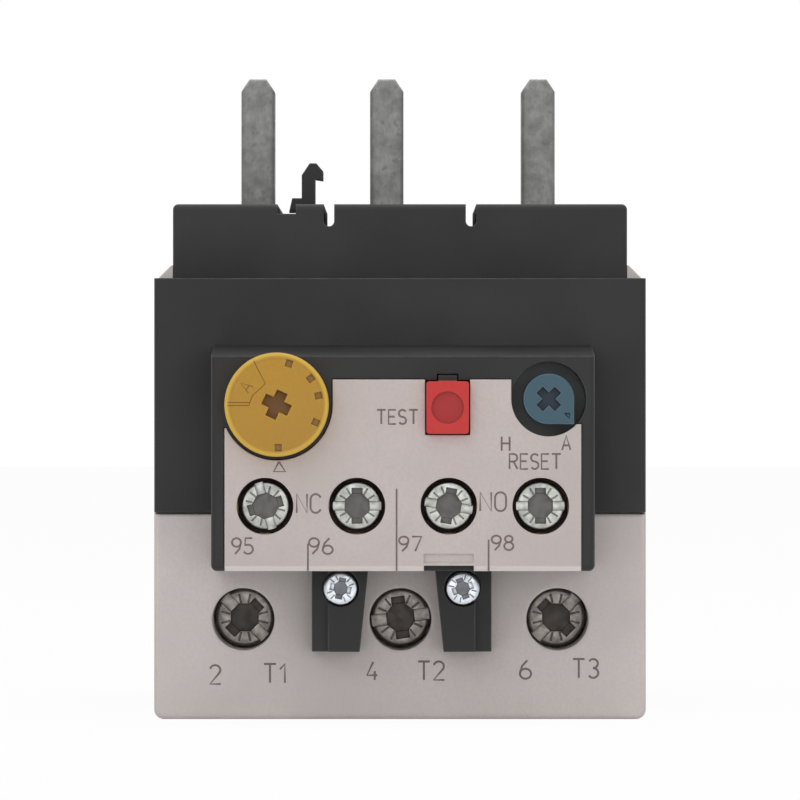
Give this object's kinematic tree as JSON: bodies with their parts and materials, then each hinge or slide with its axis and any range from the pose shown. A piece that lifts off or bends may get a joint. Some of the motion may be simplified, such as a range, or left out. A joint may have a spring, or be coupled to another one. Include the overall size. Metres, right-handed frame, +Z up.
{
  "type": "thermal overload relay",
  "caption": "Plug-in thermal overload relay with contact blades on top, screw terminals below, a front module with current dial, test and reset buttons and auxiliary terminals.",
  "frame": {"origin": "middle of the footprint, on the plane that the relay stands on", "axes": "+X to the right seen from the front, +Y towards the back, +Z up along the blades"},
  "size_m": [0.06, 0.0936, 0.0802],
  "materials": {
    "black_plastic": "moulded, fine spark texture",
    "cover_plastic": "moulded, warm light grey",
    "plate_plastic": "moulded, light warm grey, printed marks",
    "chassis_plastic": "natural filled thermoset",
    "yellow_plastic": "satin",
    "red_plastic": "satin",
    "blue_plastic": "satin",
    "tinned_copper": "dull tin plate",
    "bimetal": "rolled",
    "heater_alloy": "resistance ribbon, heat-toned",
    "plated_steel": "zinc plated",
    "bright_zinc": "bright zinc",
    "contact_brass": "stamped",
    "spring_steel": "drawn wire"
  },
  "bodies": {
    "root": {"base_housing": "black_plastic", "rear_cover": "black_plastic", "terminal_cover": "cover_plastic", "module_housing": "black_plastic", "faceplate": "plate_plastic", "mechanism_chassis": "chassis_plastic", "module_screws": "bright_zinc", "bimetal_carrier": "chassis_plastic", "test_spring": "spring_steel", "contact_blade_1": "tinned_copper", "contact_blade_2": "tinned_copper", "contact_blade_3": "tinned_copper", "heater_winding_1": "heater_alloy", "heater_winding_2": "heater_alloy", "heater_winding_3": "heater_alloy", "terminal_bar_1": "tinned_copper", "terminal_bar_2": "tinned_copper", "terminal_bar_3": "tinned_copper", "aux_plate_95": "contact_brass", "aux_plate_96": "contact_brass", "aux_plate_97": "contact_brass", "aux_plate_98": "contact_brass"},
    "dial": {"current_dial": "yellow_plastic", "dial_cam": "chassis_plastic"},
    "setting_lever": {"setting_lever": "chassis_plastic"},
    "reset_sleeve": {"reset_sleeve": "chassis_plastic", "reset_spring": "spring_steel"},
    "reset_button": {"reset_button": "blue_plastic"},
    "test_button": {"test_button": "red_plastic"},
    "terminal_screw_1": {"terminal_screw_1": "plated_steel"},
    "clamp_cage_1": {"clamp_cage_1": "plated_steel"},
    "terminal_screw_2": {"terminal_screw_2": "plated_steel"},
    "clamp_cage_2": {"clamp_cage_2": "plated_steel"},
    "terminal_screw_3": {"terminal_screw_3": "plated_steel"},
    "clamp_cage_3": {"clamp_cage_3": "plated_steel"},
    "aux_clamp_95": {"aux_clamp_95": "plated_steel"},
    "aux_screw_95": {"aux_screw_95": "plated_steel"},
    "aux_clamp_96": {"aux_clamp_96": "plated_steel"},
    "aux_screw_96": {"aux_screw_96": "plated_steel"},
    "aux_clamp_97": {"aux_clamp_97": "plated_steel"},
    "aux_screw_97": {"aux_screw_97": "plated_steel"},
    "aux_clamp_98": {"aux_clamp_98": "plated_steel"},
    "aux_screw_98": {"aux_screw_98": "plated_steel"},
    "trip_slide_front": {"trip_slide_front": "chassis_plastic", "differential_lever": "chassis_plastic"},
    "trip_slide_rear": {"trip_slide_rear": "chassis_plastic"},
    "bimetal_strip_1": {"bimetal_strip_1": "bimetal"},
    "bimetal_strip_2": {"bimetal_strip_2": "bimetal"},
    "bimetal_strip_3": {"bimetal_strip_3": "bimetal"},
    "compensation_strip": {"compensation_strip": "bimetal"},
    "trip_lever": {"trip_lever": "chassis_plastic"},
    "nc_moving_contact": {"nc_moving_contact": "contact_brass"},
    "no_moving_contact": {"no_moving_contact": "contact_brass"},
    "latch_hook": {"latch_hook": "black_plastic"}
  },
  "joints": [
    {"name": "dial_turn", "type": "hinge", "parent": "root", "child": "dial", "pos_m": [-0.01477, -0.04675, 0.03838], "axis": [0, 1, 0], "range_deg": [0, 160]},
    {"name": "setting_lever_swing", "type": "hinge", "parent": "root", "child": "setting_lever", "pos_m": [-0.00956, -0.02125, 0.0305], "axis": [0, 1, 0], "range_deg": [0, 2.51]},
    {"name": "reset_mode_turn", "type": "hinge", "parent": "root", "child": "reset_sleeve", "pos_m": [0.01785, -0.0397, 0.03907], "axis": [0, 1, 0], "range_deg": [0, 90]},
    {"name": "reset_press", "type": "slide", "parent": "reset_sleeve", "child": "reset_button", "axis": [0, 1, 0], "range_m": [0, 0.0024], "stiffness_N_per_m": 250, "deforming": ["reset_spring"]},
    {"name": "test_press", "type": "slide", "parent": "root", "child": "test_button", "axis": [0, 1, 0], "range_m": [0, 0.002], "stiffness_N_per_m": 250, "deforming": ["test_spring"]},
    {"name": "terminal_screw_1_turn", "type": "hinge", "parent": "root", "child": "terminal_screw_1", "pos_m": [-0.0191, -0.02425, 0.0122], "axis": [0, 1, 0], "range_deg": [0, 2160.1]},
    {"name": "clamp_cage_1_travel", "type": "slide", "parent": "root", "child": "clamp_cage_1", "axis": [0, -1, 0], "range_m": [0, 0.006]},
    {"name": "terminal_screw_2_turn", "type": "hinge", "parent": "root", "child": "terminal_screw_2", "pos_m": [0.00005, -0.02425, 0.0122], "axis": [0, 1, 0], "range_deg": [0, 2160.1]},
    {"name": "clamp_cage_2_travel", "type": "slide", "parent": "root", "child": "clamp_cage_2", "axis": [0, -1, 0], "range_m": [0, 0.006]},
    {"name": "terminal_screw_3_turn", "type": "hinge", "parent": "root", "child": "terminal_screw_3", "pos_m": [0.0192, -0.02425, 0.0122], "axis": [0, 1, 0], "range_deg": [0, 2160.1]},
    {"name": "clamp_cage_3_travel", "type": "slide", "parent": "root", "child": "clamp_cage_3", "axis": [0, -1, 0], "range_m": [0, 0.006]},
    {"name": "aux_clamp_95_travel", "type": "slide", "parent": "root", "child": "aux_clamp_95", "axis": [0, -1, 0], "range_m": [0, 0.0012]},
    {"name": "aux_screw_95_turn", "type": "hinge", "parent": "aux_clamp_95", "child": "aux_screw_95", "pos_m": [-0.0162, -0.04175, 0.0262], "axis": [0, -1, 0], "range_deg": [0, 720.1]},
    {"name": "aux_clamp_96_travel", "type": "slide", "parent": "root", "child": "aux_clamp_96", "axis": [0, -1, 0], "range_m": [0, 0.0012]},
    {"name": "aux_screw_96_turn", "type": "hinge", "parent": "aux_clamp_96", "child": "aux_screw_96", "pos_m": [-0.00517, -0.04175, 0.0262], "axis": [0, -1, 0], "range_deg": [0, 720.1]},
    {"name": "aux_clamp_97_travel", "type": "slide", "parent": "root", "child": "aux_clamp_97", "axis": [0, -1, 0], "range_m": [0, 0.0012]},
    {"name": "aux_screw_97_turn", "type": "hinge", "parent": "aux_clamp_97", "child": "aux_screw_97", "pos_m": [0.00587, -0.04175, 0.0262], "axis": [0, -1, 0], "range_deg": [0, 720.1]},
    {"name": "aux_clamp_98_travel", "type": "slide", "parent": "root", "child": "aux_clamp_98", "axis": [0, -1, 0], "range_m": [0, 0.0012]},
    {"name": "aux_screw_98_turn", "type": "hinge", "parent": "aux_clamp_98", "child": "aux_screw_98", "pos_m": [0.0169, -0.04175, 0.0262], "axis": [0, -1, 0], "range_deg": [0, 720.1]},
    {"name": "overload_trip", "type": "slide", "parent": "root", "child": "trip_slide_front", "axis": [1, 0, 0], "range_m": [0, 0.0016], "stiffness_N_per_m": 200},
    {"name": "rear_slide_travel", "type": "slide", "parent": "root", "child": "trip_slide_rear", "axis": [1, 0, 0], "range_m": [0, 0.0016]},
    {"name": "bimetal_strip_1_bend", "type": "hinge", "parent": "root", "child": "bimetal_strip_1", "pos_m": [-0.01825, 0.00695, 0.01], "axis": [0, 1, 0], "range_deg": [0, 4]},
    {"name": "bimetal_strip_2_bend", "type": "hinge", "parent": "root", "child": "bimetal_strip_2", "pos_m": [-0.0017, 0.00695, 0.01], "axis": [0, 1, 0], "range_deg": [0, 4]},
    {"name": "bimetal_strip_3_bend", "type": "hinge", "parent": "root", "child": "bimetal_strip_3", "pos_m": [0.01775, 0.00695, 0.01], "axis": [0, 1, 0], "range_deg": [0, 4]},
    {"name": "compensation_strip_swing", "type": "hinge", "parent": "setting_lever", "child": "compensation_strip", "pos_m": [-0.002, -0.00997, 0.0315], "axis": [0, 1, 0], "range_deg": [0, 12]},
    {"name": "trip_lever_swing", "type": "hinge", "parent": "root", "child": "trip_lever", "pos_m": [0.00035, -0.02525, 0.0368], "axis": [0, 0, -1], "range_deg": [0, 6.01]},
    {"name": "nc_contact_travel", "type": "slide", "parent": "root", "child": "nc_moving_contact", "axis": [0, 1, 0], "range_m": [0, 0.00116]},
    {"name": "no_contact_travel", "type": "slide", "parent": "root", "child": "no_moving_contact", "axis": [0, -1, 0], "range_m": [0, 0.00116]},
    {"name": "latch_flex", "type": "hinge", "parent": "root", "child": "latch_hook", "pos_m": [-0.01155, -0.00125, 0.0606], "axis": [0, 1, 0], "range_deg": [-8, 0], "stiffness_Nm_per_rad": 0.4}
  ],
  "couplings": [
    {"joint": "setting_lever_swing", "follows": "dial_turn", "ratio": 0.015625},
    {"joint": "terminal_screw_1_turn", "follows": "clamp_cage_1_travel", "rad_per_m": 6283.2},
    {"joint": "terminal_screw_2_turn", "follows": "clamp_cage_2_travel", "rad_per_m": 6283.2},
    {"joint": "terminal_screw_3_turn", "follows": "clamp_cage_3_travel", "rad_per_m": 6283.2},
    {"joint": "aux_screw_95_turn", "follows": "aux_clamp_95_travel", "rad_per_m": 10472},
    {"joint": "aux_screw_96_turn", "follows": "aux_clamp_96_travel", "rad_per_m": 10472},
    {"joint": "aux_screw_97_turn", "follows": "aux_clamp_97_travel", "rad_per_m": 10472},
    {"joint": "aux_screw_98_turn", "follows": "aux_clamp_98_travel", "rad_per_m": 10472},
    {"joint": "rear_slide_travel", "follows": "overload_trip", "ratio": 1},
    {"joint": "bimetal_strip_1_bend", "follows": "overload_trip", "rad_per_m": 35.336},
    {"joint": "bimetal_strip_2_bend", "follows": "overload_trip", "rad_per_m": 35.336},
    {"joint": "bimetal_strip_3_bend", "follows": "overload_trip", "rad_per_m": 35.336},
    {"joint": "compensation_strip_swing", "follows": "overload_trip", "rad_per_m": 113.64},
    {"joint": "trip_lever_swing", "follows": "overload_trip", "rad_per_m": 65.45},
    {"joint": "nc_contact_travel", "follows": "overload_trip", "ratio": 0.72211},
    {"joint": "no_contact_travel", "follows": "overload_trip", "ratio": 0.72211}
  ]
}
